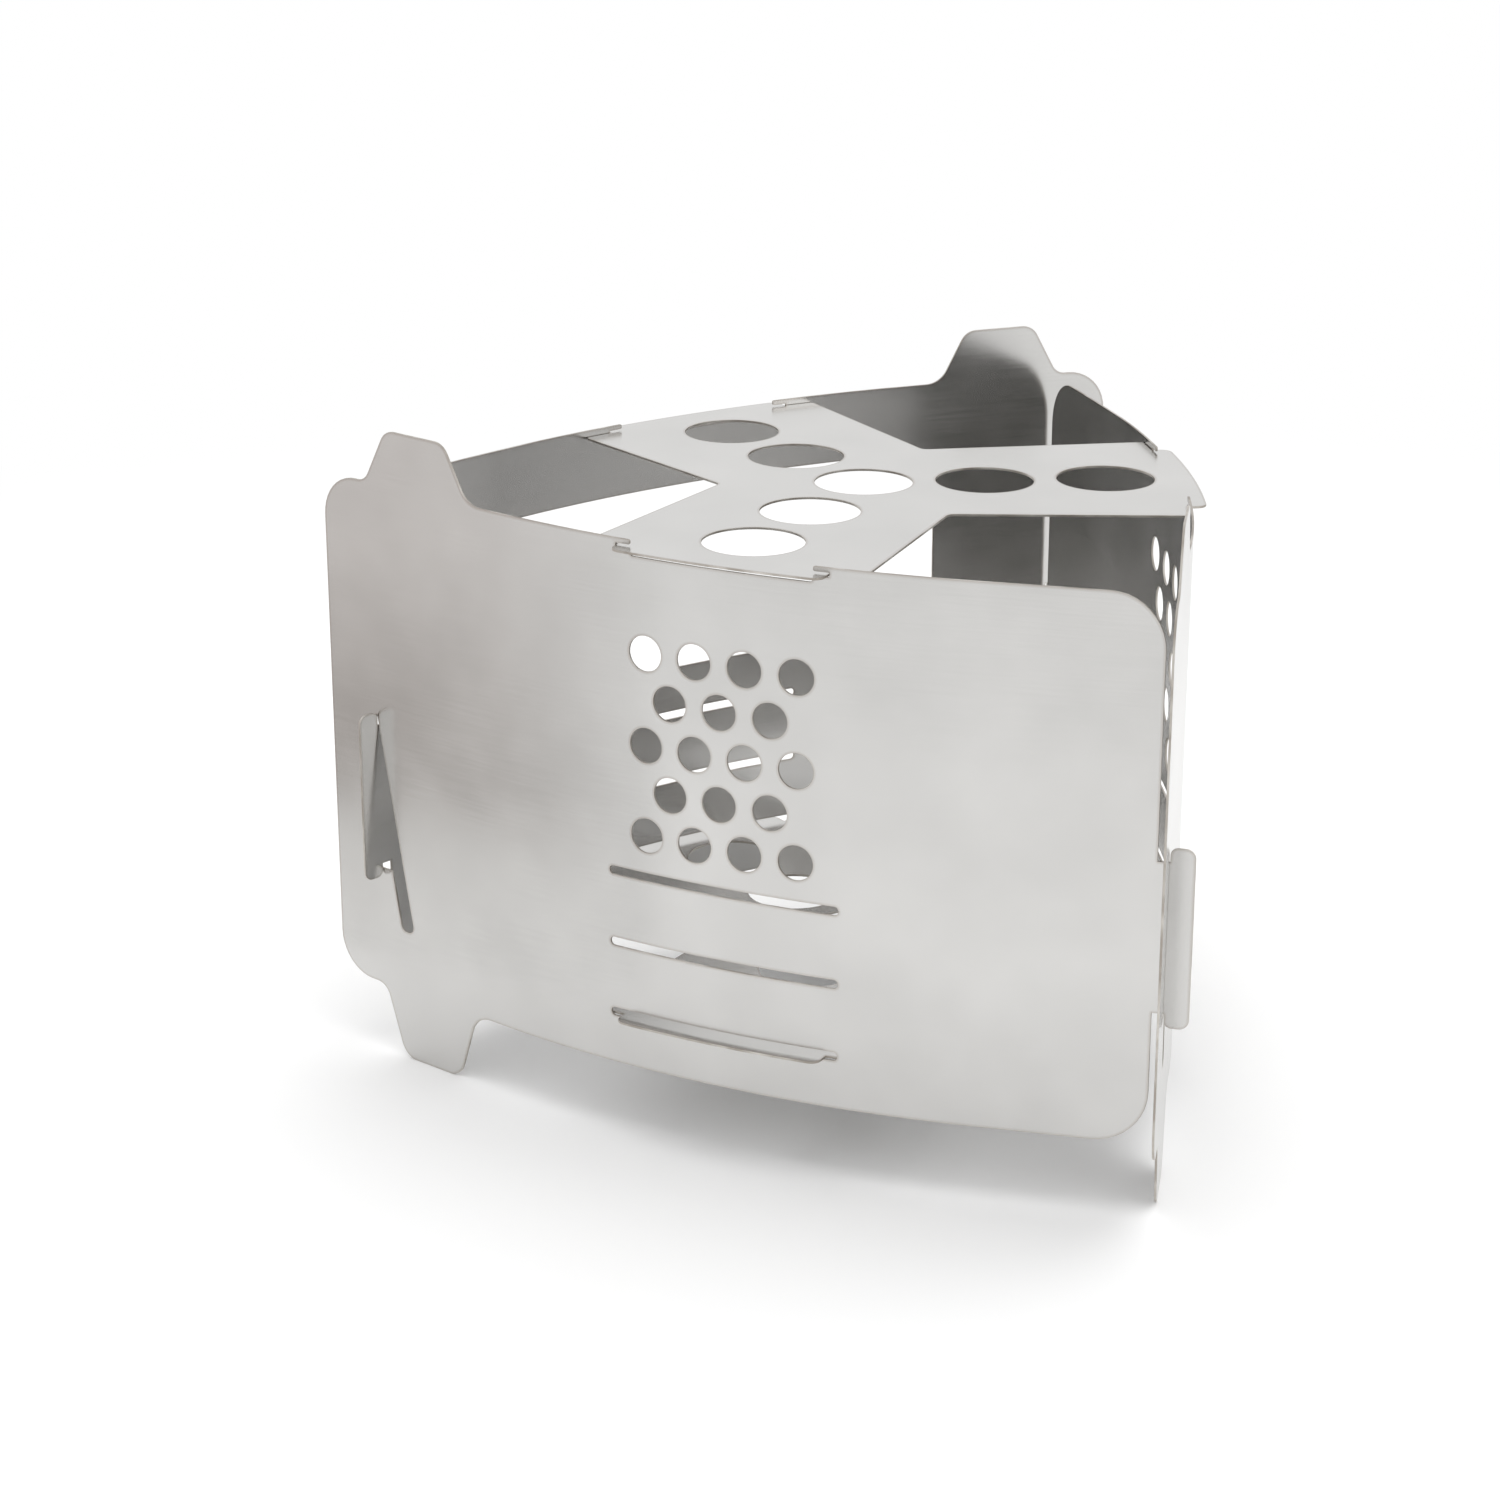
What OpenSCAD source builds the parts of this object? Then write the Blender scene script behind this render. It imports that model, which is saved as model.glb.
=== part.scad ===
// Flat-pack twig stove: three bowed side panels and two Y-shaped plates of thin stainless sheet.
// Each panel hooks its T-head through a slot in the next one, and the plates' arm tips push the
// middle of every panel outwards, which bows the panels and locks the five pieces together.
// Lengths are in millimetres. Along a panel they are measured on the sheet, from its middle.

/* [Sheet] */
// Thickness of every sheet
sheet_t = 0.5; // [0.4:0.1:0.8]
// Height of a side panel without its foot and its pot support
panel_h = 122; // [116:1:150]

/* [Corners and bow] */
// Distance along a panel from its middle to the line where two panels cross
corner_reach = 97.8; // [97:0.2:115]
// Length of a panel's slotted end beyond that line
overhang = 14.7; // [14:0.1:20]
// Distance along a panel from its middle to the end of the bow
bow_reach = 60; // [50:1:61]
// Angle by which each flat end leans away from the panel's middle
end_angle = 13.1; // [8:0.1:15]
// Corner radius at the slotted end
slot_end_r = 10; // [4:0.5:10]
// Corner radius at the tab end
tab_end_r = 12; // [4:0.5:18]

/* [Pot support and foot] */
// Distance from the slotted end's free edge to the middle of the pot support and foot
lug_inset = 29.3; // [29.3:0.1:30.5]
// Height of the pot support above the panel
lug_h = 12.8; // [8:0.1:16]
// Width of the pot support at its top
lug_top_w = 18; // [12:0.5:20]
// Width of the pot support at its root
lug_root_w = 32; // [28:0.5:32]
// Height of the foot below the panel
foot_h = 17.2; // [8:0.1:24]
// Width of the foot at the ground
foot_tip_w = 18; // [12:0.5:20]
// Width of the foot at its root
foot_root_w = 29.5; // [26:0.5:32]
// Radius at the pot support's outer corners
lug_tip_r = 4.5; // [1:0.1:5]
// Radius at the foot's outer corners
foot_tip_r = 5; // [1:0.1:6]
// Radius in the inner corners at the roots, on the free edge's side
lug_root_r = 4; // [2:0.1:4]
// Radius in the inner corners at the roots, on the bow's side
bow_root_r = 6; // [2:0.1:7]

/* [T-head] */
// Height of the neck's lower end above the panel's lower edge
neck_low = 30.5; // [26:0.5:40]
// Height of the neck
neck_h = 34; // [26:0.5:40]
// How far the head stands over the neck at each end
head_over = 3.2; // [2.6:0.1:5]
// Width of the head beyond the neck
head_w = 5.3; // [4:0.1:9]
// Radius at the head's outer corners
head_r = 2.2; // [0.5:0.1:2.5]
// Radius at the head's corners beside the neck
head_back_r = 1.6; // [0.4:0.1:1.8]
// Free length of the neck beside the sheet that it passes through
neck_slack = 2.1; // [0.6:0.1:3]
// Gap between the head and the sheet that it holds
head_play = 0.15; // [0.1:0.05:0.3]

/* [Corner slot] */
// Gap on each side of the neck in the slot
neck_play = 0.15; // [0.1:0.05:0.4]
// Room above the neck in the slot
neck_room = 2.4; // [1:0.1:2.6]
// Drop from the neck's lower end to the ledge that the head hooks over
ledge_gap = 1.2; // [0.4:0.1:2]
// Lean of the slot, which lets the neighbour in at a tilt
swing_angle = 10.7; // [8:0.1:12]
// Width of the slot's leg below the ledge
leg_w = 3.9; // [3:0.1:4.5]
// Height of the leg's closed end above the panel's lower edge
leg_low = 15; // [8:0.5:20]

/* [Arm tips and their recess] */
// Half the width of an arm's tip
tip_half = 24.9; // [22:0.1:27]
// How far a tip stands out of the panel
tip_out = 3.7; // [3:0.05:8]
// Radius at a tip's outer corners
tip_r = 2.5; // [1:0.1:3]
// How far a lip reaches in over the tip on each side
lip_reach = 3.6; // [2.5:0.1:6]
// Height of the lip above the tip
lip_h = 1.1; // [0.8:0.1:2]
// Gap above and below the tip in its slit
slit_play = 0.25; // [0.1:0.05:0.5]
// Gap beside the tip at a slit's closed end
slit_side_play = 0.3; // [0.2:0.05:0.5]
// Depth of the recess below the slits
recess_below = 1.4; // [1.2:0.1:3]
// Corner radius of the recess
recess_r = 0.8; // [0.4:0.1:0.8]
// Radius at a lip's end
lip_r = 0.4; // [0.2:0.1:0.4]

/* [Grate slots] */
// Number of slots, one above the other
slot_count = 3; // [1:1:3]
// Height of the lowest slot's middle above the panel's lower edge
slot_low = 12.2; // [11:0.1:13]
// Distance from one slot to the next
slot_pitch = 16.9; // [12:0.1:17]
// Room above the sheet in a slot
slot_room = 1.5; // [0.8:0.1:2.5]
// Gap beside the tip at a slot's closed end
slot_side_play = 2.95; // [0.5:0.05:3.5]

/* [Plates] */
// Half the width of an arm where its edges would meet the axis
arm_half = 26.9; // [25.5:0.1:28]
// Angle by which each edge of an arm spreads outwards
arm_flare = 4.5; // [3.5:0.1:5]
// Radius in the corner between two arms
arm_root_r = 2; // [1:0.1:5]
// Radius at an arm's shoulders
shoulder_r = 1; // [0.4:0.1:1.5]
// Gap between a shoulder and the panel's inner face
shoulder_play = 0.2; // [0.1:0.05:0.5]
// Gap between a plate and the edge that carries it
seat_play = 0.1; // [0.05:0.05:0.2]
// Diameter of the holes in a plate
hole_d = 22.3; // [14:0.1:24]
// Distance from one hole to the next
hole_pitch = 27.5; // [26.5:0.1:28]

/* [Air vents in the front and right panels] */
// Diameter of a vent hole
vent_d = 8; // [4:0.5:9]
// Distance from one vent hole to the next
vent_pitch = 12; // [11:0.5:12.5]
// Number of rows of vent holes
vent_rows = 5; // [1:1:5]
// Number of holes in the longest row
vent_columns = 4; // [2:1:5]
// Gap between the top grate slot and the lowest row of vent holes
vent_gap = 4.7; // [2:0.1:12]

/* [Fuel window in the rear panel] */
// Width of the window
window_w = 132; // [80:1:136]
// Height of the window's lower edge above the panel's lower edge
window_low = 58.2; // [54:0.1:60]
// Height of the window
window_h = 46.4; // [30:0.1:48]
// Corner radius of the window
window_r = 8; // [2:0.5:12]

/* [Hidden] */
$fn = 96;
steel = [0.80, 0.79, 0.77];
arc_steps = 8;
bow_fn = 720;

// The bow: a circular arc between two flat ends. It turns a little more than the ends lean, so
// that its faces cross theirs in a clean line, and both reach a little way into each other.
bow_lead = 0.25;
bow_turn = end_angle + bow_lead;
bow_r = bow_reach / (bow_turn * PI / 180);
lap = bow_r * sin(bow_lead);
bend_x = bow_r * sin(bow_turn);
bend_y = bow_r * (1 - cos(bow_turn));
corner_x = bend_x + (corner_reach - bow_reach) * cos(end_angle);
corner_y = bend_y + (corner_reach - bow_reach) * sin(end_angle);
// Distance from the stove's axis to a panel's middle, which closes the triangle
panel_out = corner_y + corner_x * tan(30);
bow_centre = bow_r - panel_out;
// Middle and ends are first made this thick, then cut back to the sheet's inner face
blank_t = 2 * sheet_t;

// Half the length that a crossing sheet takes up along its neighbour
cross_angle = 60 + 2 * end_angle;
cross_half = sheet_t / 2 * (1 / sin(cross_angle) + abs(1 / tan(cross_angle)));
slot_reach = corner_reach + overhang;
lug_mid = -(slot_reach - lug_inset);
head_start = corner_reach + cross_half + head_play;
tab_reach = head_start - sheet_t - neck_slack;
head_end = head_start + head_w;
neck_top = neck_low + neck_h;

// Corner slot, with its straight edge on the free end's side
slot_left = -(corner_reach + cross_half + neck_play);
slot_top = neck_top + neck_room;
ledge = neck_low - ledge_gap;
leg_side_w = leg_w / cos(swing_angle);
leg_r = leg_w * 0.4;

// Recess at the top of a panel, where an arm's tip lies in two slits
slit_h = sheet_t + 2 * slit_play;
slit_top = panel_h - lip_h;
slit_low = slit_top - slit_h;
recess_floor = slit_low - recess_below;
slit_half = tip_half + slit_side_play;
slit_r = slit_h * 0.3;
recess_half = slit_half - lip_reach;

slot_h = sheet_t + slot_room;
slot_half = tip_half + slot_side_play;

// Height of the vents' middle row, above the top slot by the gap and half the pattern
vent_row_h = vent_pitch * sin(60);
vent_mid = slot_low + (slot_count - 1) * slot_pitch + slot_h / 2 + vent_gap
    + (vent_rows - 1) / 2 * vent_row_h + vent_d / 2;

// Plates, with an arm along +X
shoulder_arc_r = bow_r - sheet_t / 2 - shoulder_play;
tip_arc_r = bow_r + sheet_t / 2 + tip_out;
arm_root_x = arm_half / (tan(60) - tan(arm_flare));
top_plate_z = foot_h + slit_low + seat_play;
grate_z = foot_h + slot_low - slot_h / 2 + seat_play;

// The origin lies on the ground, under the middle of the whole stove
function turned(p, a) = [p[0] * cos(a) - p[1] * sin(a), p[0] * sin(a) + p[1] * cos(a)];
function on_end(side, u) =
    [side * (bend_x + (u - bow_reach) * cos(end_angle)),
     bend_y + (u - bow_reach) * sin(end_angle) - panel_out];
free_edge = on_end(-1, slot_reach);
head_edge = on_end(1, head_end);
rear_edge = turned(free_edge, 240);
tip_edge_y = -(panel_out + sheet_t / 2 + tip_out);
middle = [(free_edge[0] + head_edge[0]) / 2, (rear_edge[1] + tip_edge_y) / 2];

// Position across the bow of a point at distance u along the sheet
function across(u) =
    abs(u) <= bow_reach
        ? bow_r * sin(u / bow_r * 180 / PI)
        : sign(u) * (bend_x + (abs(u) - bow_reach) * cos(end_angle));

// Points that round the corner at b, between a and c, with radius r
function corner(a, b, c, r) =
    let (
        to_a = (a - b) / norm(a - b),
        to_c = (c - b) / norm(c - b),
        half = acos(to_a * to_c) / 2,
        centre = b + (to_a + to_c) / norm(to_a + to_c) * r / sin(half),
        from = b + to_a * r / tan(half) - centre,
        to = b + to_c * r / tan(half) - centre,
        start = atan2(from[1], from[0]),
        turn = (atan2(to[1], to[0]) - start + 540) % 360 - 180
    )
    [for (i = [0:arc_steps]) centre + r * [cos(start + turn * i / arc_steps),
                                           sin(start + turn * i / arc_steps)]];

// Outline through points [x, y, radius], each rounded with its own radius
function rounded(path) =
    let (n = len(path), xy = [for (p = path) [p[0], p[1]]])
    [for (i = [0:n - 1]) each path[i][2] > 0
        ? corner(xy[(i + n - 1) % n], xy[i], xy[(i + 1) % n], path[i][2])
        : [xy[i]]];

// Trapezoid of a pot support or a foot: root, tip, tip, root, from larger u to smaller
function lug_path(root_w, tip_w, tip_r, z_root, z_tip) =
    [[lug_mid + root_w / 2, z_root, bow_root_r],
     [lug_mid + tip_w / 2, z_tip, tip_r],
     [lug_mid - tip_w / 2, z_tip, tip_r],
     [lug_mid - root_w / 2, z_root, lug_root_r]];

function backwards(path) = [for (i = [len(path) - 1:-1:0]) path[i]];

// Position of the corner slot's leaning edge at height z
function leaning(z) = slot_left + 2 * (cross_half + neck_play) + (neck_top - z) * tan(swing_angle);

// Flat drawing of the slotted end, from the bow outwards
module slot_end_drawing()
    difference() {
        polygon(rounded(concat(
            [[lap - bow_reach, 0, 0]],
            lug_path(foot_root_w, foot_tip_w, foot_tip_r, 0, -foot_h),
            [[-slot_reach, 0, slot_end_r], [-slot_reach, panel_h, slot_end_r]],
            backwards(lug_path(lug_root_w, lug_top_w, lug_tip_r, panel_h, panel_h + lug_h)),
            [[lap - bow_reach, panel_h, 0]])));
        polygon(rounded([
            [slot_left, slot_top, 0],
            [leaning(slot_top), slot_top, 0],
            [leaning(leg_low), leg_low, leg_r],
            [leaning(leg_low) - leg_side_w, leg_low, leg_r],
            [leaning(ledge) - leg_side_w, ledge, lip_r],
            [slot_left, ledge, 0]]));
    }

// Flat drawing of the tab end, with its neck and head
module tab_end_drawing()
    polygon(rounded([
        [bow_reach - lap, 0, 0],
        [tab_reach, 0, tab_end_r],
        [tab_reach, neck_low, 0],
        [head_start, neck_low, 0],
        [head_start, neck_low - head_over, head_back_r],
        [head_end, neck_low - head_over, head_r],
        [head_end, neck_top + head_over, head_r],
        [head_start, neck_top + head_over, head_back_r],
        [head_start, neck_top, 0],
        [tab_reach, neck_top, 0],
        [tab_reach, panel_h, tab_end_r],
        [bow_reach - lap, panel_h, 0]]));

// Stands a flat drawing up as one end of the panel, from depth y = start inwards
module flat_end(side, start)
    translate([side * bend_x, bend_y - panel_out, 0])
        rotate([0, 0, side * end_angle])
            translate([-side * bow_reach, start + blank_t, 0])
                rotate([90, 0, 0])
                    linear_extrude(height = blank_t)
                        children();

// The middle of the panel, from its outer face inwards
module bowed_middle()
    translate([0, bow_centre, 0])
        rotate([0, 0, end_angle])
            rotate_extrude(start = 270 - end_angle - bow_turn - bow_lead,
                           angle = 2 * (bow_turn + bow_lead), $fn = bow_fn)
                translate([bow_r + sheet_t / 2 - blank_t, 0])
                    square([blank_t, panel_h]);

// All that lies behind the sheet's inner face
module inner_side() {
    clear = 1;
    low = -foot_h - clear;
    high = panel_h + lug_h + clear;
    translate([0, bow_centre, low])
        cylinder(r = bow_r - sheet_t / 2, h = high - low, $fn = bow_fn);
    for (side = [-1, 1])
        flat_end(side, sheet_t / 2)
            translate([side > 0 ? bow_reach - lap : -slot_reach - clear, low])
                square([slot_reach - bow_reach + lap + clear, high - low]);
}

// Cuts a drawing of x and z right through the panel
module through_cut()
    translate([0, -panel_out, 0])
        rotate([90, 0, 0])
            linear_extrude(height = 2 * corner_y, center = true)
                children();

module recess_drawing() {
    x = across(recess_half);
    x_slit = across(slit_half);
    side = [
        [x, recess_floor, recess_r],
        [x, slit_low, lip_r],
        [x_slit, slit_low, slit_r],
        [x_slit, slit_top, slit_r],
        [x, slit_top, lip_r],
        [x, panel_h + lip_h, 0]];
    polygon(rounded(concat(side, [for (p = backwards(side)) [-p[0], p[1], p[2]]])));
}

module slot_drawing() {
    x = across(slot_half) - slot_h / 2;
    union() {
        square([2 * x, slot_h], center = true);
        translate([-x, 0])
            circle(d = slot_h);
        translate([x, 0])
            circle(d = slot_h);
    }
}

// Side panel facing -Y, with its cut-outs, its foot and its pot support
module panel()
    translate([0, 0, foot_h])
        difference() {
            union() {
                bowed_middle();
                flat_end(-1, -sheet_t / 2)
                    slot_end_drawing();
                flat_end(1, -sheet_t / 2)
                    tab_end_drawing();
            }
            inner_side();
            through_cut()
                recess_drawing();
            through_cut()
                for (i = [0:slot_count - 1])
                    translate([0, slot_low + i * slot_pitch])
                        slot_drawing();
        }

// Staggered rows of round holes: every second row has one hole less
module vent_drawing()
    for (row = [0:vent_rows - 1]) {
        holes = vent_columns - row % 2;
        z = (row - (vent_rows - 1) / 2) * vent_row_h;
        for (i = [0:holes - 1])
            translate([across((i - (holes - 1) / 2) * vent_pitch), z])
                circle(d = vent_d);
    }

module vented_panel()
    difference() {
        panel();
        translate([0, 0, foot_h + vent_mid])
            through_cut()
                vent_drawing();
    }

module window_drawing() {
    x = across(window_w / 2);
    polygon(rounded([
        [-x, window_low, window_r],
        [x, window_low, window_r],
        [x, window_low + window_h, window_r],
        [-x, window_low + window_h, window_r]]));
}

// Points of an arm's end that follow the bow, from y to -y
function bow_arc(r, y) =
    let (a = asin(y / r))
    [for (i = [0:arc_steps]) [r * cos(a - 2 * a * i / arc_steps) - bow_centre,
                              r * sin(a - 2 * a * i / arc_steps)]];

// Half the width of an arm at distance x from the axis
function arm_side(x) = arm_half + x * tan(arm_flare);

// One arm, from the corner before it to the corner after it
function arm_path() =
    let (
        reach = panel_out - sheet_t / 2,
        shoulder_y = arm_side(reach - sheet_t),
        shoulder_x = sqrt(pow(shoulder_arc_r, 2) - pow(shoulder_y, 2)) - bow_centre,
        notch_x = sqrt(pow(shoulder_arc_r, 2) - pow(tip_half, 2)) - bow_centre,
        tip = bow_arc(tip_arc_r, tip_half)
    )
    concat(
        [[arm_root_x, -arm_root_x * tan(60), arm_root_r],
         [shoulder_x, -arm_side(shoulder_x), shoulder_r],
         [notch_x, -tip_half, 0]],
        [for (i = [arc_steps:-1:0])
            [tip[i][0], tip[i][1], i == 0 || i == arc_steps ? tip_r : 0]],
        [[notch_x, tip_half, 0],
         [shoulder_x, arm_side(shoulder_x), shoulder_r]]);

// Y-shaped plate with a row of holes down each arm
module y_plate(z)
    translate([0, 0, z])
        linear_extrude(height = sheet_t)
            difference() {
                polygon(rounded([for (a = [30:120:270]) each
                    [for (p = arm_path()) concat(turned([p[0], p[1]], a), [p[2]])]]));
                circle(d = hole_d);
                for (a = [30:120:270])
                    for (i = [1, 2])
                        rotate(a)
                            translate([i * hole_pitch, 0])
                                circle(d = hole_d);
            }

// Brings the stove's own axis to its place beside the origin
module in_place(turn = 0)
    translate([-middle[0], -middle[1], 0])
        rotate([0, 0, turn])
            children();

module front_panel()
    color(steel)
        in_place()
            vented_panel();

module right_panel()
    color(steel)
        in_place(120)
            vented_panel();

module rear_panel()
    color(steel)
        in_place(240)
            difference() {
                panel();
                translate([0, 0, foot_h])
                    through_cut()
                        window_drawing();
            }

module top_plate()
    color(steel)
        in_place()
            y_plate(top_plate_z);

module fire_grate()
    color(steel)
        in_place()
            y_plate(grate_z);

front_panel();
right_panel();
rear_panel();
top_plate();
fire_grate();
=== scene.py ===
# %% [markdown]
# # A flat-pack twig stove
#
# The real stove is five pieces of stainless sheet, half a millimetre thick. Three side panels
# hook into each other at the corners, and two Y-shaped plates push their middles outwards until
# they bow. Everything that the eye reads here comes from thin sheet: the cut edges, the soft
# cloudy shine, and the reflections of one sheet in the next.
#
# The imported model gives the places. Its box is kept.

import math

import bpy
import numpy as np
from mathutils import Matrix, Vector
from mathutils.geometry import delaunay_2d_cdt


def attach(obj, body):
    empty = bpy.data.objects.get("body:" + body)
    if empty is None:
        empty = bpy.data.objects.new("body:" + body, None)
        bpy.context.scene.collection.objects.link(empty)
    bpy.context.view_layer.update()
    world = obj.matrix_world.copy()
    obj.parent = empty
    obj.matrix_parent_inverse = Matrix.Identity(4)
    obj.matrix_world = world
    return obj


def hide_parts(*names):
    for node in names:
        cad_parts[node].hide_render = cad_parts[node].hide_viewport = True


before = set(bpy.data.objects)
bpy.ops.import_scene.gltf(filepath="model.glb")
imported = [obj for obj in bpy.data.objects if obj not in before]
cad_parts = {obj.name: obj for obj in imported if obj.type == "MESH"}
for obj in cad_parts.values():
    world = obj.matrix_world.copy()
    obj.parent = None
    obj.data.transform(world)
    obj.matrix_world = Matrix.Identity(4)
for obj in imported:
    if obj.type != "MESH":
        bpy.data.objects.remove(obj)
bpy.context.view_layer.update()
print("nodes:", sorted(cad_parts))

# %% [markdown]
# ## How the sheets are bent
#
# A panel is drawn flat, as the cutting shop would: `u` runs along the sheet from its middle and
# `z` runs up from its lower edge, both in millimetres. `bend` then says where a point of the flat
# drawing lies once the panel is bowed. The middle is an arc of a circle and the ends stay flat.
# Drawing flat and bending afterwards is how the real piece is made, and it keeps every slot and
# hole in its true shape on the sheet.

# %% The bowed sheet
SHEET = 0.5  # thickness
PANEL_H = 122.0  # height of the blank, without feet and pot supports
FOOT_H = 17.2  # how far a foot reaches below the blank
CORNER_REACH = 97.8  # from a panel's middle to where two panels cross
SLOT_REACH = 112.5  # from a panel's middle to its slotted end
BOW_REACH = 60.0  # half the length of the arc
END_ANGLE = math.radians(13.1)  # slope of the flat ends
BOW_TURN = math.radians(13.35)  # turn of each half of the arc
BOW_R = BOW_REACH / BOW_TURN
BEND_X = BOW_R * math.sin(BOW_TURN)
BEND_Y = BOW_R * (1 - math.cos(BOW_TURN))
CORNER_X = BEND_X + (CORNER_REACH - BOW_REACH) * math.cos(END_ANGLE)
CORNER_Y = BEND_Y + (CORNER_REACH - BOW_REACH) * math.sin(END_ANGLE)
PANEL_OUT = CORNER_Y + CORNER_X * math.tan(math.radians(30))


def bend(u):
    """x, y and slope of the sheet's middle at distance u, for the panel that faces -Y."""
    a = abs(u)
    if a <= BOW_REACH:
        slope = u / BOW_R
        return BOW_R * math.sin(slope), BOW_R * (1 - math.cos(slope)) - PANEL_OUT, slope
    side = 1 if u > 0 else -1
    x = side * (BEND_X + (a - BOW_REACH) * math.cos(END_ANGLE))
    return x, BEND_Y + (a - BOW_REACH) * math.sin(END_ANGLE) - PANEL_OUT, side * END_ANGLE


CROSSING = math.radians(60) + 2 * END_ANGLE
CROSS_HALF = SHEET / 2 * (1 / math.sin(CROSSING) + abs(1 / math.tan(CROSSING)))
PLAY = 0.15  # clearance at each side of a neck
HEAD_START = CORNER_REACH + CROSS_HALF + PLAY
HEAD_END = HEAD_START + 5.3
TIP_OUT = 3.7  # how far a plate's tips stand out of the panels


def turned(x, y, angle):
    """A flat point, turned by an angle in degrees about the stove's axis."""
    c, s = math.cos(math.radians(angle)), math.sin(math.radians(angle))
    return x * c - y * s, x * s + y * c


free_edge = bend(-SLOT_REACH)
rear_edge = turned(free_edge[0], free_edge[1], 240)
MIDDLE_X = (free_edge[0] + bend(HEAD_END)[0]) / 2
MIDDLE_Y = (rear_edge[1] - PANEL_OUT - SHEET / 2 - TIP_OUT) / 2
print("bow radius %.1f mm, panel %.1f mm from the axis" % (BOW_R, PANEL_OUT))

# %% [markdown]
# ## Flat drawings
#
# Each piece is one closed outline with holes. A laser leaves small radii everywhere, so the
# outlines are lists of corners with a radius each, and `rounded` turns every corner into a short
# arc. That is quicker to read and to change than a list of finished points.


# %% Rounded outlines
def corner_arc(before, at, after, radius, steps=10):
    a, b, c = (np.array(p, float) for p in (before, at, after))
    to_a = (a - b) / np.linalg.norm(a - b)
    to_c = (c - b) / np.linalg.norm(c - b)
    half = math.acos(max(-1, min(1, float(to_a @ to_c)))) / 2
    middle = to_a + to_c
    centre = b + middle / np.linalg.norm(middle) * radius / math.sin(half)
    first = b + to_a * radius / math.tan(half) - centre
    last = b + to_c * radius / math.tan(half) - centre
    start = math.atan2(first[1], first[0])
    sweep = (math.atan2(last[1], last[0]) - start + 3 * math.pi) % (2 * math.pi) - math.pi
    angles = [start + sweep * i / steps for i in range(steps + 1)]
    return [tuple(centre + radius * np.array([math.cos(t), math.sin(t)])) for t in angles]


def rounded(path):
    points, n = [], len(path)
    for i, (x, y, r) in enumerate(path):
        if r > 0:
            points += corner_arc(path[i - 1][:2], (x, y), path[(i + 1) % n][:2], r)
        else:
            points.append((x, y))
    return points


def round_hole(x, y, diameter, steps=64):
    turns = [2 * math.pi * i / steps for i in range(steps)]
    return [(x + diameter / 2 * math.cos(t), y + diameter / 2 * math.sin(t)) for t in turns]


print("a square corner becomes", len(corner_arc((0, 9), (0, 0), (9, 0), 3)), "points")

# %% [markdown]
# ## The panel's outline
#
# Seen flat, a panel is a long rectangle. Its left end carries a pot support at the top, a foot at
# the bottom and the corner slot. Its right end carries the T-head, whose neck passes through the
# next panel's slot. The recess at the top and its two slits hold the tip of the top plate.

# %% Outline of a side panel
LUG_MID = -(SLOT_REACH - 29.3)  # middle of the pot support and of the foot below it
LUG_H, LUG_HALF, FOOT_HALF, LUG_TIP_HALF = 12.8, 16, 14.75, 9
NECK_LOW, NECK_TOP, HOOK = 30.5, 64.5, 3.2  # the T-head's neck, and its overhang
TAB_REACH = HEAD_START - SHEET - 2.1  # where the sheet ends and only the neck goes on
SLIT_TOP = PANEL_H - 1.1
SLIT_LOW = SLIT_TOP - 1.0
SLIT_HALF, RECESS_HALF, RECESS_FLOOR = 25.2, 21.6, SLIT_LOW - 1.4

panel_outline = rounded([
    (LUG_MID + FOOT_HALF, 0, 6), (LUG_MID + LUG_TIP_HALF, -FOOT_H, 5),
    (LUG_MID - LUG_TIP_HALF, -FOOT_H, 5), (LUG_MID - FOOT_HALF, 0, 4),
    (-SLOT_REACH, 0, 10), (-SLOT_REACH, PANEL_H, 10), (LUG_MID - LUG_HALF, PANEL_H, 4),
    (LUG_MID - LUG_TIP_HALF, PANEL_H + LUG_H, 4.5),
    (LUG_MID + LUG_TIP_HALF, PANEL_H + LUG_H, 4.5), (LUG_MID + LUG_HALF, PANEL_H, 6),
    (-RECESS_HALF, PANEL_H, 0.4), (-RECESS_HALF, SLIT_TOP, 0.4),
    (-SLIT_HALF, SLIT_TOP, 0.3), (-SLIT_HALF, SLIT_LOW, 0.3),
    (-RECESS_HALF, SLIT_LOW, 0.4), (-RECESS_HALF, RECESS_FLOOR, 0.8),
    (RECESS_HALF, RECESS_FLOOR, 0.8), (RECESS_HALF, SLIT_LOW, 0.4),
    (SLIT_HALF, SLIT_LOW, 0.3), (SLIT_HALF, SLIT_TOP, 0.3),
    (RECESS_HALF, SLIT_TOP, 0.4), (RECESS_HALF, PANEL_H, 0.4),
    (TAB_REACH, PANEL_H, 12), (TAB_REACH, NECK_TOP, 0),
    (HEAD_START, NECK_TOP, 0), (HEAD_START, NECK_TOP + HOOK, 1.6),
    (HEAD_END, NECK_TOP + HOOK, 2.2), (HEAD_END, NECK_LOW - HOOK, 2.2),
    (HEAD_START, NECK_LOW - HOOK, 1.6), (HEAD_START, NECK_LOW, 0),
    (TAB_REACH, NECK_LOW, 0), (TAB_REACH, 0, 12)])
print("outline of", len(panel_outline), "points")

# %% [markdown]
# ## What is cut through the panels
#
# The corner slot has one upright side, against which the next panel's neck rests, and one leaning
# side. The lean gives the T-head room to tilt while it is hooked in. Three grate slots, one above
# the other, let the fire grate sit at three heights. The vents are a plain staggered pattern, the
# densest way to put round holes into a sheet. Twigs are fed through the fuel window, and its
# corners are rounded so that the thin sheet doesn't tear there.

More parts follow.
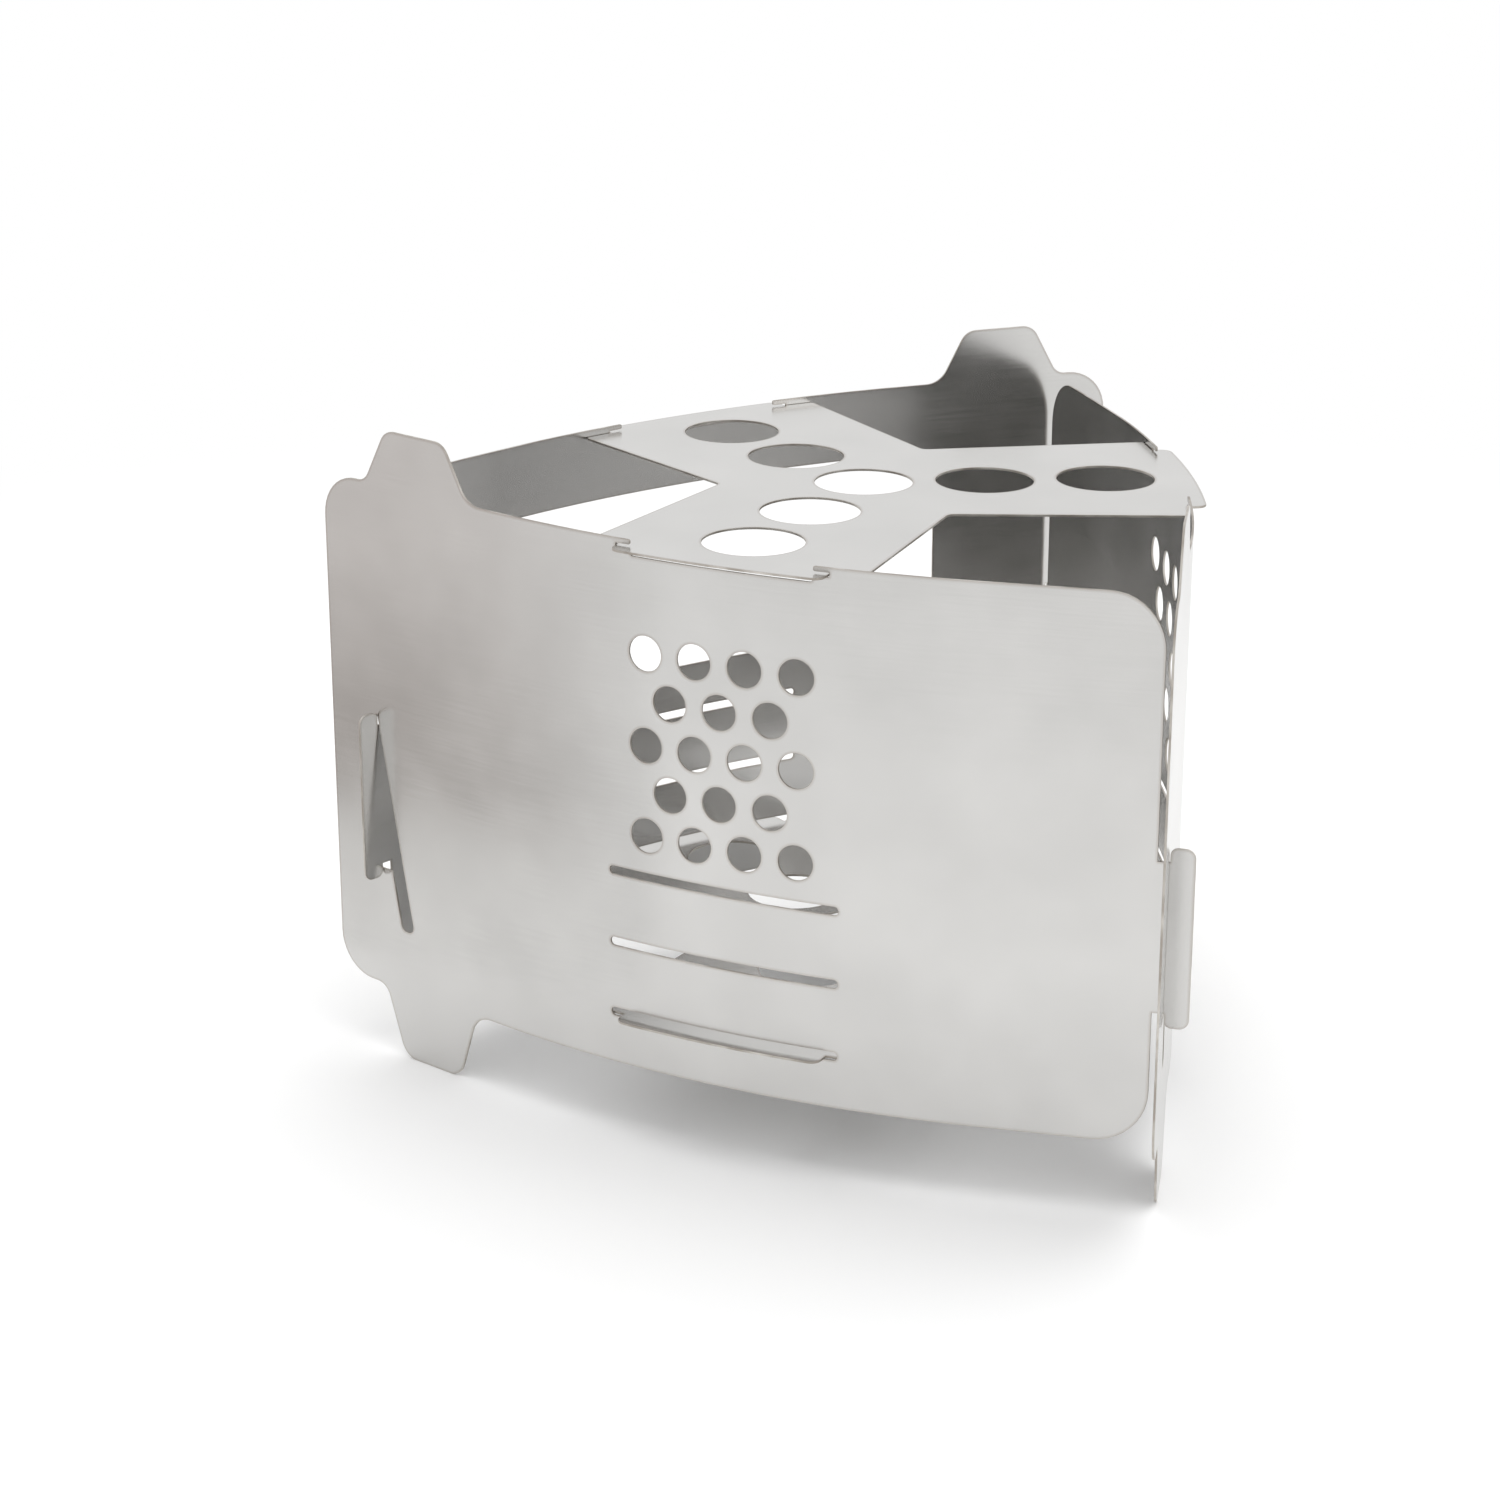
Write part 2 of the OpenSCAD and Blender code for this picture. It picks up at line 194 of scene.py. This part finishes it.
# %% The corner slot
TILT = math.radians(10.7)
SLOT_LEFT = -(CORNER_REACH + CROSS_HALF + PLAY)
LEDGE, LEG_LOW, LEG_SIDE = NECK_LOW - 1.2, 15.0, 3.9 / math.cos(TILT)


def leaning(z):
    """The leaning side of the corner slot at height z."""
    return SLOT_LEFT + 2 * (CROSS_HALF + PLAY) + (NECK_TOP - z) * math.tan(TILT)


corner_slot = rounded([
    (SLOT_LEFT, NECK_TOP + 2.4, 0), (leaning(NECK_TOP + 2.4), NECK_TOP + 2.4, 0),
    (leaning(LEG_LOW), LEG_LOW, 1.56), (leaning(LEG_LOW) - LEG_SIDE, LEG_LOW, 1.56),
    (leaning(LEDGE) - LEG_SIDE, LEDGE, 0.4), (SLOT_LEFT, LEDGE, 0)])
print("corner slot leans out to %.1f mm" % (leaning(LEG_LOW) - SLOT_LEFT))

# %% The grate slots, the vents and the fuel window
GRATE_SLOTS_Z, GRATE_SLOT_HALF, SLOT_R = (12.2, 29.1, 46.0), 27.85, 1.0
grate_slots = [rounded([(-GRATE_SLOT_HALF, z - SLOT_R, 0.99), (GRATE_SLOT_HALF, z - SLOT_R, 0.99),
                        (GRATE_SLOT_HALF, z + SLOT_R, 0.99), (-GRATE_SLOT_HALF, z + SLOT_R, 0.99)])
               for z in GRATE_SLOTS_Z]
vents = []
VENT_D, VENT_PITCH, VENT_ROW = 8.0, 12.0, 12.0 * math.sin(math.radians(60))
VENT_MID = GRATE_SLOTS_Z[2] + SLOT_R + 4.7 + 2 * VENT_ROW + VENT_D / 2
for row in range(5):
    count = 4 - row % 2
    for i in range(count):
        vents.append(round_hole((i - (count - 1) / 2) * VENT_PITCH,
                                VENT_MID + (row - 2) * VENT_ROW, VENT_D, 40))
WINDOW_HALF, WINDOW_LOW, WINDOW_TOP = 66, 58.2, 104.6
fuel_window = rounded([(-WINDOW_HALF, WINDOW_LOW, 8), (WINDOW_HALF, WINDOW_LOW, 8),
                       (WINDOW_HALF, WINDOW_TOP, 8), (-WINDOW_HALF, WINDOW_TOP, 8)])
print(len(grate_slots), "grate slots,", len(vents), "vents")

# %% [markdown]
# ## From a drawing to a sheet of steel
#
# A filled outline could be made with a curve object and its extrusion, but then the bow needs
# another tool and the cut edges get no material of their own. So the drawing is filled with small
# triangles, laid out twice half a sheet apart, and joined by a rim. The rim has a tiny bevel,
# because a cut edge of real sheet catches the light along a thin line.
#
# Every point keeps its place on the flat sheet as its UV, in metres, so that the grain of the
# rolled steel runs along the sheet and bends with it. It also keeps its distance to the nearest
# cut, for the faint heat tint that the laser leaves.


# %% Helpers for filling a drawing
BEVEL = 0.06


def split_long(points, longest=2.0):
    """Splits long edges, and drops points that all but coincide."""
    out = []
    for i, p in enumerate(points):
        q = points[(i + 1) % len(points)]
        parts = max(1, math.ceil(math.dist(p, q) / longest))
        for k in range(parts):
            out.append((p[0] + (q[0] - p[0]) * k / parts, p[1] + (q[1] - p[1]) * k / parts))
    return np.array([p for i, p in enumerate(out) if math.dist(p, out[i - 1]) > 0.02])


def material_left(loop, is_hole):
    """Turns the loop so that the steel lies on its left."""
    x, y = loop[:, 0], loop[:, 1]
    area = (x * np.roll(y, -1) - np.roll(x, -1) * y).sum()
    return loop[::-1] if (area > 0) == is_hole else loop


def inward(loop):
    """Unit direction into the steel at every point of a loop, and how far a mitre reaches."""
    ahead = np.roll(loop, -1, 0) - loop
    ahead /= np.linalg.norm(ahead, axis=1)[:, None]
    left = np.stack([-ahead[:, 1], ahead[:, 0]], 1)
    both = left + np.roll(left, 1, 0)
    both /= np.linalg.norm(both, axis=1)[:, None]
    return both, 1 / np.clip((both * left).sum(1), 0.5, 1)


def inside(points, loops):
    """Even-odd test of points against all loops together."""
    odd = np.zeros(len(points), bool)
    for loop in loops:
        a, b = loop, np.roll(loop, -1, 0)
        for p, q in zip(a, b):
            crosses = (p[1] > points[:, 1]) != (q[1] > points[:, 1])
            if crosses.any():
                x = p[0] + (points[:, 1] - p[1]) * (q[0] - p[0]) / (q[1] - p[1] + 1e-30)
                odd ^= crosses & (points[:, 0] < x)
    return odd


def cut_distance(points, loops):
    """Distance from each point to the nearest cut, in millimetres."""
    best = np.full(len(points), 1e9)
    for loop in loops:
        a, b = loop, np.roll(loop, -1, 0)
        for p, q in zip(a, b):
            d = q - p
            t = np.clip(((points - p) @ d) / (d @ d), 0, 1)
            best = np.minimum(best, np.linalg.norm(points - (p + t[:, None] * d), axis=1))
    return best


print("the outline becomes", len(split_long(panel_outline)), "points, 2 mm apart at most")


# %% Fill a drawing with triangles
def fill(loops, grid):
    """Triangles between the loops, with a grid of points inside so that the sheet can bend."""
    points, edges = [], []
    for loop in loops:
        first = len(points)
        points += [tuple(p) for p in loop]
        edges += [(first + i, first + (i + 1) % len(loop)) for i in range(len(loop))]
    low, high = loops[0].min(0), loops[0].max(0)
    xs, ys = np.arange(low[0], high[0], grid), np.arange(low[1], high[1], grid)
    mesh_points = np.array([(x + (j % 2) * grid / 2, y) for j, y in enumerate(ys) for x in xs])
    rings = []
    for loop in loops:
        into = inward(loop)[0]
        rings += [loop + into * reach for reach in (0.45, 1.2)]
    extra = np.concatenate([mesh_points] + rings)
    extra = extra[inside(extra, loops)]
    far = cut_distance(extra, loops)
    extra = extra[far > 0.3]
    points += [tuple(p) for p in extra]
    out = delaunay_2d_cdt([Vector(p) for p in points], edges, [], 0, 1e-5)
    flat = np.array([tuple(p) for p in out[0]])
    tris = np.array([tuple(f) for f in out[2]])
    tris = tris[inside(flat[tris].mean(1), loops)]
    came_from = {old: new for new, olds in enumerate(out[3]) for old in olds}
    rows, first = [], 0
    for loop in loops:
        rows.append([came_from[first + i] for i in range(len(loop))])
        first += len(loop)
    return flat, tris, rows


print("a vent-sized disc becomes", len(fill([split_long(vents[0])], 2.0)[1]), "triangles")

# %% [markdown]
# The builder below takes a drawing and a function that says where a flat point goes. The custom
# normals come from that same function, so a bowed panel shines as one clean curve although it is
# made of small triangles.


# %% Build one sheet
def build_sheet(name, outline, holes, place, grid):
    """place(point, depth) gives (position, outward normal, direction) in millimetres."""
    loops = [material_left(split_long(outline), False)]
    loops += [material_left(split_long(h), True) for h in holes]
    inset = []
    for loop in loops:
        into, mitre = inward(loop)
        inset.append(loop + into * (mitre * BEVEL)[:, None])
    flat, tris, fronts = fill(inset, grid)
    count = len(flat)
    positions, normals, uvs = [], [], []

    def add(p, depth, side):
        position, out, along = place(p, depth)
        positions.append(position)
        normals.append(side(out, along))
        uvs.append(p)
        return len(positions) - 1

    for sign in (1, -1):
        for p in flat:
            add(p, sign * SHEET / 2, lambda out, along, s=sign: out * s)
    faces = [tuple(t) for t in tris] + [tuple(count + i for i in t[::-1]) for t in tris]
    kinds = [0] * len(faces)
    for loop, front in zip(loops, fronts):
        into = inward(loop)[0]
        edge = []
        for sign in (1, -1):
            edge.append([add(p, sign * (SHEET / 2 - BEVEL),
                             lambda out, along, d=d: -(along[0] * d[0] + along[1] * d[1]))
                         for p, d in zip(loop, into)])
        rows = [front, edge[0], edge[1], [count + i for i in front]]
        n = len(loop)
        for a, b in zip(rows, rows[1:]):
            for i in range(n):
                j = (i + 1) % n
                faces.append((a[i], b[i], b[j], a[j]))
                kinds.append(1)
    return finish_sheet(name, np.array(positions), faces, kinds, normals, np.array(uvs), loops)


def finish_sheet(name, positions, faces, kinds, normals, uvs, loops):
    mesh = bpy.data.meshes.new(name)
    mesh.from_pydata([tuple(p / 1000) for p in positions], [], faces)
    mesh.polygons.foreach_set("material_index", kinds)
    mesh.polygons.foreach_set("use_smooth", [True] * len(faces))
    corner = np.zeros(len(mesh.loops), int)
    mesh.loops.foreach_get("vertex_index", corner)
    uv = mesh.uv_layers.new(name="sheet")
    uv.data.foreach_set("uv", (uvs[corner] / 1000).ravel())
    far = mesh.attributes.new("cut_mm", "FLOAT", "POINT")
    far.data.foreach_set("value", cut_distance(uvs, loops).astype(np.float32))
    mesh.normals_split_custom_set([tuple(normals[i]) for i in corner])
    mesh.update()
    piece = bpy.data.objects.new(name, mesh)
    bpy.context.collection.objects.link(piece)
    print(name, len(mesh.vertices), "points,", len(mesh.polygons), "faces")
    return piece


# %% [markdown]
# ## The three panels
#
# All three are the same blank. The front and right ones are pierced with vents, and the rear one
# has the wide window for feeding twigs. Each is turned a third of a circle further round the
# stove's axis.


# %% Place and build the panels
def panel_place(turn):
    def place(p, depth):
        x, y, slope = bend(p[0])
        out = np.array([*turned(math.sin(slope), -math.cos(slope), turn), 0.0])
        along = np.array([*turned(math.cos(slope), math.sin(slope), turn), 0.0])
        x, y = turned(x, y, turn)
        spot = np.array([x - MIDDLE_X, y - MIDDLE_Y, FOOT_H + p[1]]) + out * depth
        return spot, out, (along, np.array([0.0, 0.0, 1.0]))
    return place


panels = {}
for name, turn, extra in (("front_panel", 0, vents), ("right_panel", 120, vents),
                          ("rear_panel", 240, [fuel_window])):
    panels[name] = build_sheet("stove_" + name, panel_outline,
                               [corner_slot] + grate_slots + extra, panel_place(turn), 4.0)

# %% [markdown]
# ## The Y-shaped plates
#
# The top plate and the fire grate are the same piece. Each arm ends in two shoulders that rest
# against the inside of a panel, and a tip that goes through it. The shoulders and the tip follow
# the panel's bow.

# %% Outline of a Y-shaped plate
FLARE, ARM_HALF, SHOULDER_PLAY = math.tan(math.radians(4.5)), 26.9, 0.2
BOW_CENTRE = BOW_R - PANEL_OUT
ARM_ROOT = ARM_HALF / (math.tan(math.radians(60)) - FLARE)
INSIDE_R = BOW_R - SHEET / 2 - SHOULDER_PLAY
TIP_R, TIP_HALF = BOW_R + SHEET / 2 + TIP_OUT, 24.9


def arm_side(x):
    """Half the width of an arm at distance x from the axis."""
    return ARM_HALF + x * FLARE


shoulder_y = arm_side(PANEL_OUT - SHEET * 1.5)
shoulder_x = math.sqrt(INSIDE_R**2 - shoulder_y**2) - BOW_CENTRE
notch_x = math.sqrt(INSIDE_R**2 - TIP_HALF**2) - BOW_CENTRE
tip_angle = math.asin(TIP_HALF / TIP_R)
tip_points = []
for i in range(9):
    t = -tip_angle + 2 * tip_angle * i / 8
    tip_points.append((TIP_R * math.cos(t) - BOW_CENTRE, TIP_R * math.sin(t),
                       2.5 if i in (0, 8) else 0))
arm = ([(ARM_ROOT, -ARM_ROOT * math.sqrt(3), 2), (shoulder_x, -arm_side(shoulder_x), 1),
        (notch_x, -TIP_HALF, 0)] + tip_points
       + [(notch_x, TIP_HALF, 0), (shoulder_x, arm_side(shoulder_x), 1)])
plate_outline = rounded([(*turned(x, y, a), r) for a in (30, 150, 270) for x, y, r in arm])
HOLE_D, HOLE_PITCH = 22.3, 27.5
plate_holes = [round_hole(0, 0, HOLE_D)]
for a in (30, 150, 270):
    plate_holes += [round_hole(*turned(HOLE_PITCH * k, 0, a), HOLE_D) for k in (1, 2)]
print("plate with", len(plate_holes), "holes, arms reach %.1f mm" % (TIP_R - BOW_CENTRE))


# %% Place and build the plates
def plate_place(low):
    def place(p, depth):
        spot = np.array([p[0] - MIDDLE_X, p[1] - MIDDLE_Y, low + SHEET / 2 + depth])
        across = (np.array([1.0, 0, 0]), np.array([0, 1.0, 0]))
        return spot, np.array([0, 0, 1.0]), across
    return place


REST_GAP = 0.1
GRATE_LOW = GRATE_SLOTS_Z[0] - SLOT_R
plates = {}
for name, edge in (("top_plate", SLIT_LOW), ("fire_grate", GRATE_LOW)):
    plates[name] = build_sheet("stove_" + name, plate_outline, plate_holes,
                               plate_place(FOOT_H + edge + REST_GAP), 5.0)

# %% [markdown]
# ## Stainless sheet and its laser-cut edge
#
# The sheet is cold-rolled stainless steel in the usual 2B mill finish: smooth and softly cloudy,
# with a fine grain along the rolling direction. It mirrors dark and light shapes but blurs them,
# which a roughness of 0.2 to 0.25 gives. A metal's colour sits in its reflection, so metallic is
# 1, the IOR stays at its default, and the base colour is that of the steel.
#
# The node tree is built by one small function that adds a node with its settings and its links.


# %% Colour and node helpers
def linear(hex_colour):
    """An sRGB hex colour as linear RGBA."""
    parts = [int(hex_colour[i:i + 2], 16) / 255 for i in (1, 3, 5)]
    return [c / 12.92 if c <= 0.04045 else ((c + 0.055) / 1.055) ** 2.4 for c in parts] + [1]


def node(tree, kind, settings=None, **inputs):
    """Adds a node. Each input is a value, or the (node, output) that it is linked to."""
    made = tree.nodes.new("ShaderNode" + kind)
    for key, value in (settings or {}).items():
        setattr(made, key, value)
    for key, value in inputs.items():
        wanted = key.replace("_", " ")
        socket = made.inputs[int(key[1:])] if key[0] == "i" and key[1:].isdigit() else next(
            s for s in made.inputs if s.name.lower() == wanted.lower())
        if isinstance(value, tuple) and isinstance(value[0], bpy.types.Node):
            tree.links.new(value[0].outputs[value[1]], socket)
        else:
            socket.default_value = value
    return made


def blank_material(name):
    """A material with an empty node tree."""
    material = bpy.data.materials.new(name)
    material.use_nodes = True
    material.node_tree.nodes.clear()
    return material, material.node_tree


print("mid grey #808080 is %.3f in linear light" % linear("#808080")[0])

# %% [markdown]
# The rolled grain is about 0.2 mm wide and a centimetre or two long. At this picture's scale that
# is just under a pixel, so it is drawn 0.5 mm wide. The roughness and the tone vary a little along
# the grain and in soft clouds some 25 mm wide. The sheet isn't quite flat either: low waves, some
# 50 mm long, bend the reflections a little.


# %% Cold-rolled stainless sheet
def stainless_sheet():
    material, tree = blank_material("cold_rolled_stainless_sheet")
    uv = node(tree, "UVMap", {"uv_map": "sheet"})
    stretched = node(tree, "Mapping", Vector=(uv, 0), Scale=(1 / 0.02, 1 / 0.0005, 1))
    grain = node(tree, "TexNoise", {"noise_dimensions": "2D"}, Vector=(stretched, 0),
                 Scale=1.0, Detail=1.0, Roughness=0.5)
    clouds = node(tree, "TexNoise", {"noise_dimensions": "2D"}, Vector=(uv, 0),
                  Scale=40.0, Detail=2.0, Roughness=0.5)
    waves = node(tree, "TexNoise", {"noise_dimensions": "2D"}, Vector=(uv, 0),
                 Scale=18.0, Detail=1.0, Roughness=0.4)
    dull = node(tree, "MapRange", None, Value=(clouds, 0), From_Min=0.3, From_Max=0.7,
                To_Min=0.2, To_Max=0.25)
    grained = node(tree, "MapRange", None, Value=(grain, 0), From_Min=0.3, From_Max=0.7,
                   To_Min=-0.012, To_Max=0.012)
    rough = node(tree, "Math", {"operation": "ADD"}, i0=(dull, 0), i1=(grained, 0))
    tone = node(tree, "Math", {"operation": "MULTIPLY_ADD"}, i0=(grain, 0), i1=0.2,
                i2=(clouds, 0))
    ramp = node(tree, "ValToRGB", None, Fac=(tone, 0))
    ramp.color_ramp.elements[0].position = 0.35
    ramp.color_ramp.elements[0].color = linear("#c8c7c5")
    ramp.color_ramp.elements[1].position = 1.0
    ramp.color_ramp.elements[1].color = linear("#d2d1cf")
    far = node(tree, "Attribute", {"attribute_name": "cut_mm"})
    heat = node(tree, "MapRange", None, Value=(far, 2), From_Min=0.05, From_Max=0.7,
                To_Min=0.45, To_Max=0.0)
    tinted = node(tree, "Mix", {"data_type": "RGBA"}, i0=(heat, 0), i6=(ramp, 0),
                  i7=linear("#9c9084"))
    waved = node(tree, "Bump", None, Strength=1.0, Distance=0.0004, Height=(waves, 0))
    grained_too = node(tree, "Bump", None, Strength=0.015, Distance=0.00002, Height=(grain, 0),
                       Normal=(waved, 0))
    steel = node(tree, "BsdfPrincipled", None, Base_Color=(tinted, 2), Metallic=1.0,
                 Roughness=(rough, 0), Normal=(grained_too, 0))
    node(tree, "OutputMaterial", None, Surface=(steel, 0))
    return material


# %% [markdown]
# ## The cut edge
#
# A laser melts its way through the sheet and leaves fine upright stripes, about half a millimetre
# apart, and a warm oxide tint. The edge is rougher than the sheet (0.48), so it catches light as
# a pale, broken line. A material of its own on the rim is simpler than a mask, and it stays sharp
# in a close view.


# %% Laser-cut edge
def laser_cut_edge():
    material, tree = blank_material("laser_cut_edge")
    uv = node(tree, "UVMap", {"uv_map": "sheet"})
    stripes = node(tree, "TexNoise", {"noise_dimensions": "2D"}, Vector=(uv, 0),
                   Scale=2200.0, Detail=2.0)
    patches = node(tree, "TexNoise", {"noise_dimensions": "2D"}, Vector=(uv, 0),
                   Scale=120.0, Detail=3.0)
    ramp = node(tree, "ValToRGB", None, Fac=(patches, 0))
    ramp.color_ramp.elements[0].position = 0.35
    ramp.color_ramp.elements[0].color = linear("#a39c94")
    ramp.color_ramp.elements[1].position = 0.7
    ramp.color_ramp.elements[1].color = linear("#d0ccc6")
    bump = node(tree, "Bump", None, Strength=0.5, Distance=0.00005, Height=(stripes, 0))
    steel = node(tree, "BsdfPrincipled", None, Base_Color=(ramp, 0), Metallic=1.0,
                 Roughness=0.48, Normal=(bump, 0))
    node(tree, "OutputMaterial", None, Surface=(steel, 0))
    return material


sheet_finish, edge_finish = stainless_sheet(), laser_cut_edge()
for name, piece in {**panels, **plates}.items():
    piece.data.materials.append(sheet_finish)
    piece.data.materials.append(edge_finish)
    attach(piece, "root")
    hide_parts(name)
    print(name, "has", [slot.name for slot in piece.data.materials])

# %% [markdown]
# ## A plain studio
#
# The stove stands on heavy matt paper, almost pure white and nearly without gloss (roughness
# 0.9). A metal shows its surroundings, so these matter more than the lamps. The paper keeps the
# stove's soft shadow and fades to plain white further out, where the white world takes over. Both
# have a strength of 1 there, so no edge shows.


# %% Paper floor
def add_mesh(name, points, faces, material):
    mesh = bpy.data.meshes.new(name)
    mesh.from_pydata(points, [], faces)
    mesh.materials.append(material)
    made = bpy.data.objects.new(name, mesh)
    bpy.context.collection.objects.link(made)
    print("stage:", name)
    return made


def matt_white_paper():
    material, tree = blank_material("matt_white_paper")
    matt = node(tree, "BsdfPrincipled", None, Base_Color=linear("#fafafa"), Roughness=0.9)
    white = node(tree, "Emission", None, Color=linear("#ffffff"), Strength=1.0)
    place = node(tree, "NewGeometry")
    far = node(tree, "VectorMath", {"operation": "LENGTH"}, i0=(place, 0))
    fade = node(tree, "MapRange", {"interpolation_type": "SMOOTHSTEP"}, Value=(far, 1),
                From_Min=0.22, From_Max=0.6)
    mixed = node(tree, "MixShader", None, i0=(fade, 0), i1=(matt, 0), i2=(white, 0))
    node(tree, "OutputMaterial", None, Surface=(mixed, 0))
    return material


add_mesh("paper_floor", [(-6, -6, 0), (6, -6, 0), (6, 6, 0), (-6, 6, 0)], [(0, 1, 2, 3)],
         matt_white_paper())


# %% [markdown]
# ## A grey card for the reflections
#
# All in white, the steel would look flat. A photographer puts a grey card where the metal mirrors
# it: here at the left, so that the front panel gets its darker left third. The card is darker
# near the paper and fades to white towards the middle. Its foot lies on the paper, because the
# lowest part of the panel mirrors that. Only reflections see either, so no light is added.


# %% Grey card at the left
def glowing_card(name, corners, low_grey, high_grey):
    """A card that only reflections see: grey at its left, white towards its right end."""
    material, tree = blank_material(name)
    place = node(tree, "TexCoord")
    along = node(tree, "SeparateXYZ", None, Vector=(place, 0))
    grey = node(tree, "ValToRGB", None, Fac=(along, 2))
    grey.color_ramp.elements[0].position = 0.1
    grey.color_ramp.elements[0].color = linear(low_grey)
    grey.color_ramp.elements[1].position = 0.35
    grey.color_ramp.elements[1].color = linear(high_grey)
    fade = node(tree, "MapRange", None, Value=(along, 0), From_Min=0.5, From_Max=1.0)
    shade = node(tree, "Mix", {"data_type": "RGBA"}, i0=(fade, 0), i6=(grey, 0),
                 i7=linear("#ffffff"))
    glow = node(tree, "Emission", None, Color=(shade, 2), Strength=1.0)
    node(tree, "OutputMaterial", None, Surface=(glow, 0))
    card = add_mesh(name, corners, [(0, 1, 2, 3)], material)
    card.visible_camera = card.visible_diffuse = card.visible_shadow = False


(x0, y0), (x1, y1) = (-0.36, -0.095), (-0.105, -0.23)
glowing_card("grey_card", [(x0, y0, 0.001), (x1, y1, 0.001), (x1, y1, 0.22), (x0, y0, 0.22)],
             "#bfb9b5", "#ebe6e4")
foot_x, foot_y = 0.042, 0.08
glowing_card("grey_card_foot", [(x0, y0, 0.001), (x1, y1, 0.001),
                                (x1 + foot_x, y1 + foot_y, 0.001),
                                (x0 + foot_x, y0 + foot_y, 0.001)], "#fdfcfb", "#fdfcfb")


# %% [markdown]
# ## Lamps and world
#
# One large lamp overhead gives the soft shadow under the stove, and a weaker one at the right
# gives the far side its sheen. The steel doesn't mirror the overhead lamp itself, because the top
# plate would burn out to white from above: it mirrors the white world instead, which lights the
# scene at 0.7 and shows itself at 1.


# %% Lamps
def soft_lamp(name, spot, size, power):
    data = bpy.data.lights.new(name, "AREA")
    data.shape, data.size, data.energy = "SQUARE", size, power
    lamp = bpy.data.objects.new(name, data)
    lamp.location = spot
    lamp.rotation_euler = (Vector((0, 0, 0.08)) - Vector(spot)).to_track_quat("-Z", "Y").to_euler()
    bpy.context.collection.objects.link(lamp)
    print("%s: %.1f m wide, %d W" % (name, size, power))
    return lamp


overhead = soft_lamp("overhead_softbox", (0.0, 0.45, 2.4), 3.5, 50)
overhead.visible_glossy = False
soft_lamp("right_softbox", (2.2, -0.6, 1.4), 1.6, 8)

# %% World
world = bpy.data.worlds.new("studio")
bpy.context.scene.world = world
world.use_nodes = True
world.node_tree.nodes.clear()
sky = node(world.node_tree, "Background", None, Color=linear("#ffffff"), Strength=0.7)
shown = node(world.node_tree, "Background", None, Color=linear("#ffffff"), Strength=1.0)
path = node(world.node_tree, "LightPath")
seen = node(world.node_tree, "Math", {"operation": "MAXIMUM"}, i0=(path, 0), i1=(path, 3))
mixed = node(world.node_tree, "MixShader", None, i0=(seen, 0), i1=(sky, 0), i2=(shown, 0))
node(world.node_tree, "OutputWorld", None, Surface=(mixed, 0))
bpy.context.scene.view_settings.view_transform = "Standard"
print("world nodes:", len(world.node_tree.nodes))

# %% [markdown]
# ## Camera
#
# The camera stands to the right of the front panel and looks down a little, from some 80 cm away,
# with a longer lens. Its place was worked out from where the plates' holes and the panels'
# corners lie in the photograph.

# %% Camera
camera_data = bpy.data.cameras.new("camera")
camera_data.lens = 84.24
camera_data.sensor_width = 36
camera = bpy.data.objects.new("camera", camera_data)
camera.location = (0.32982, -0.71977, 0.34382)
camera.rotation_euler = (math.radians(90 - 19.393), 0, math.radians(26.963))
bpy.context.collection.objects.link(camera)
bpy.context.scene.camera = camera
stove_middle = Vector((0, 0, 0.07))
print("camera %.2f m from the middle of the stove" % (camera.location - stove_middle).length)
